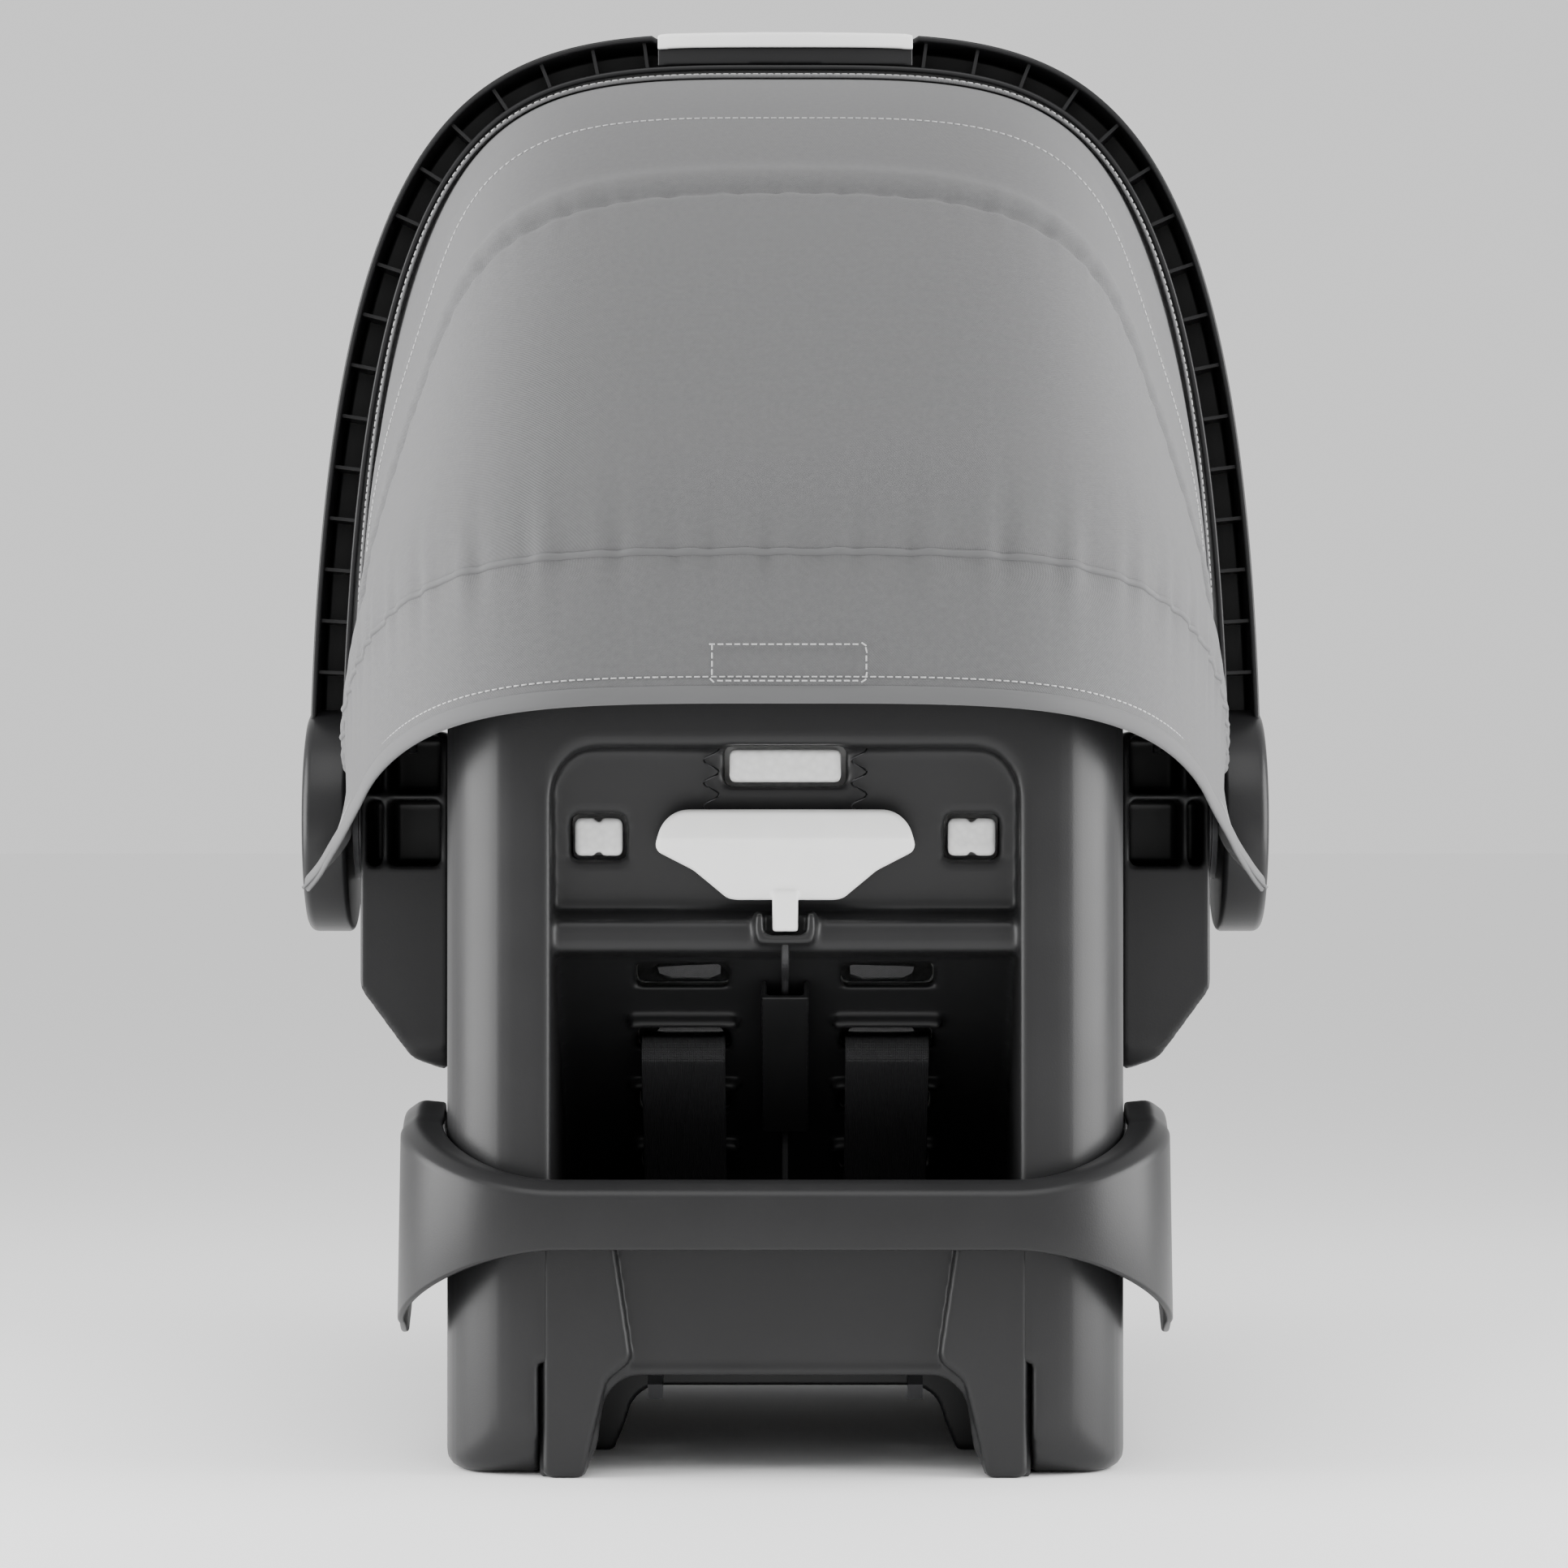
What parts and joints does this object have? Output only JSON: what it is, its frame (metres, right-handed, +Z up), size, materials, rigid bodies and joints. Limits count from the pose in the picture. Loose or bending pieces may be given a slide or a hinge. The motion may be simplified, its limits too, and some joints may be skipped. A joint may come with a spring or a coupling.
{
  "type": "infant car seat",
  "caption": "Rear-facing infant carrier shell with swinging carry handle, folding canopy, padded liner, five-point harness and release lever.",
  "frame": {"origin": "on the floor under the middle of the seat, at the middle of its width and near the middle of its length", "axes": "+Z up, +Y towards the child's feet, +X to the right seen from behind the seat"},
  "size_m": [0.422, 0.6408, 0.604],
  "materials": {
    "shell_black": "satin moulded polypropylene",
    "handle_black": "satin moulded nylon",
    "soft_white": "smooth satin",
    "button_grey": "satin",
    "foam_white": "expanded foam beads",
    "canopy_fabric": "fine plain weave",
    "pad_fabric": "brushed knit",
    "webbing_black": "twill webbing",
    "buckle_black": "fine grain",
    "button_red": "satin",
    "steel": "zinc plated",
    "dark_steel": "blackened"
  },
  "bodies": {
    "shell": {"seat_shell": "shell_black", "bottom_pan": "shell_black", "rear_guard_band": "shell_black", "pod_left": "shell_black", "pod_right": "shell_black", "foam_liner": "foam_white", "seat_pad": "pad_fabric", "head_pillow": "pad_fabric", "shoulder_strap_left": "webbing_black", "shoulder_strap_right": "webbing_black", "strap_cover_left": "pad_fabric", "strap_cover_right": "pad_fabric", "hip_strap_left": "webbing_black", "hip_strap_right": "webbing_black", "crotch_strap": "webbing_black", "buckle_body": "buckle_black", "buckle_tongue_left": "steel", "buckle_tongue_right": "steel", "chest_clip_left": "buckle_black", "chest_clip_right": "buckle_black", "splitter_plate": "steel", "adjuster_strap": "webbing_black", "adjuster_housing": "buckle_black", "belt_guide_left": "shell_black", "belt_guide_right": "shell_black", "hub_boss_left": "shell_black", "hub_boss_right": "shell_black", "pivot_pins": "steel", "canopy_skirt": "canopy_fabric", "lever_spring": "dark_steel", "cable_cover": "shell_black", "release_cable": "buckle_black", "latch_shaft": "dark_steel", "shell_screws": "steel"},
    "handle": {"handle_arch": "handle_black", "grip_cover": "soft_white", "grip_insert": "handle_black", "hub_cap_left": "handle_black", "hub_cap_right": "handle_black", "lock_spring_left": "steel", "lock_spring_right": "steel"},
    "hub_button_left": {"hub_button_left": "button_grey"},
    "hub_button_right": {"hub_button_right": "button_grey"},
    "mid_bow": {"mid_bow": "dark_steel", "canopy_rear": "canopy_fabric"},
    "front_bow": {"front_bow": "dark_steel", "canopy_front": "canopy_fabric"},
    "release_lever": {"release_lever": "soft_white"},
    "latch": {"latch_hooks": "dark_steel"},
    "buckle_button": {"buckle_button": "button_red"},
    "adjuster_button": {"adjuster_button": "button_grey"}
  },
  "joints": [
    {"name": "handle_turn", "type": "hinge", "parent": "shell", "child": "handle", "pos_m": [0, 0, 0.257], "axis": [1, 0, 0], "range_deg": [-80, 75]},
    {"name": "hub_button_left_press", "type": "slide", "parent": "handle", "child": "hub_button_left", "axis": [1, 0, 0], "range_m": [0, 0.0045], "stiffness_N_per_m": 900, "deforming": ["lock_spring_left"]},
    {"name": "hub_button_right_press", "type": "slide", "parent": "handle", "child": "hub_button_right", "axis": [-1, 0, 0], "range_m": [0, 0.0045], "stiffness_N_per_m": 900, "deforming": ["lock_spring_right"]},
    {"name": "canopy_mid_fold", "type": "hinge", "parent": "shell", "child": "mid_bow", "pos_m": [0, 0, 0.257], "axis": [1, 0, 0], "range_deg": [0, 58], "deforming": ["canopy_rear"]},
    {"name": "canopy_front_fold", "type": "hinge", "parent": "mid_bow", "child": "front_bow", "pos_m": [0, 0, 0.257], "axis": [1, 0, 0], "range_deg": [0, 30], "deforming": ["canopy_front"]},
    {"name": "release_squeeze", "type": "slide", "parent": "shell", "child": "release_lever", "axis": [0, 0, 1], "range_m": [0, 0.012], "stiffness_N_per_m": 400, "deforming": ["lever_spring"]},
    {"name": "latch_turn", "type": "hinge", "parent": "shell", "child": "latch", "pos_m": [0, -0.212, 0.06], "axis": [1, 0, 0], "range_deg": [0, 20]},
    {"name": "buckle_press", "type": "slide", "parent": "shell", "child": "buckle_button", "axis": [0, 0, -1], "range_m": [0, 0.0025], "stiffness_N_per_m": 800},
    {"name": "adjuster_press", "type": "slide", "parent": "shell", "child": "adjuster_button", "axis": [0, 0.3714, -0.9285], "range_m": [0, 0.004], "stiffness_N_per_m": 800}
  ],
  "couplings": [
    {"joint": "latch_turn", "follows": "release_squeeze", "rad_per_m": 29}
  ]
}
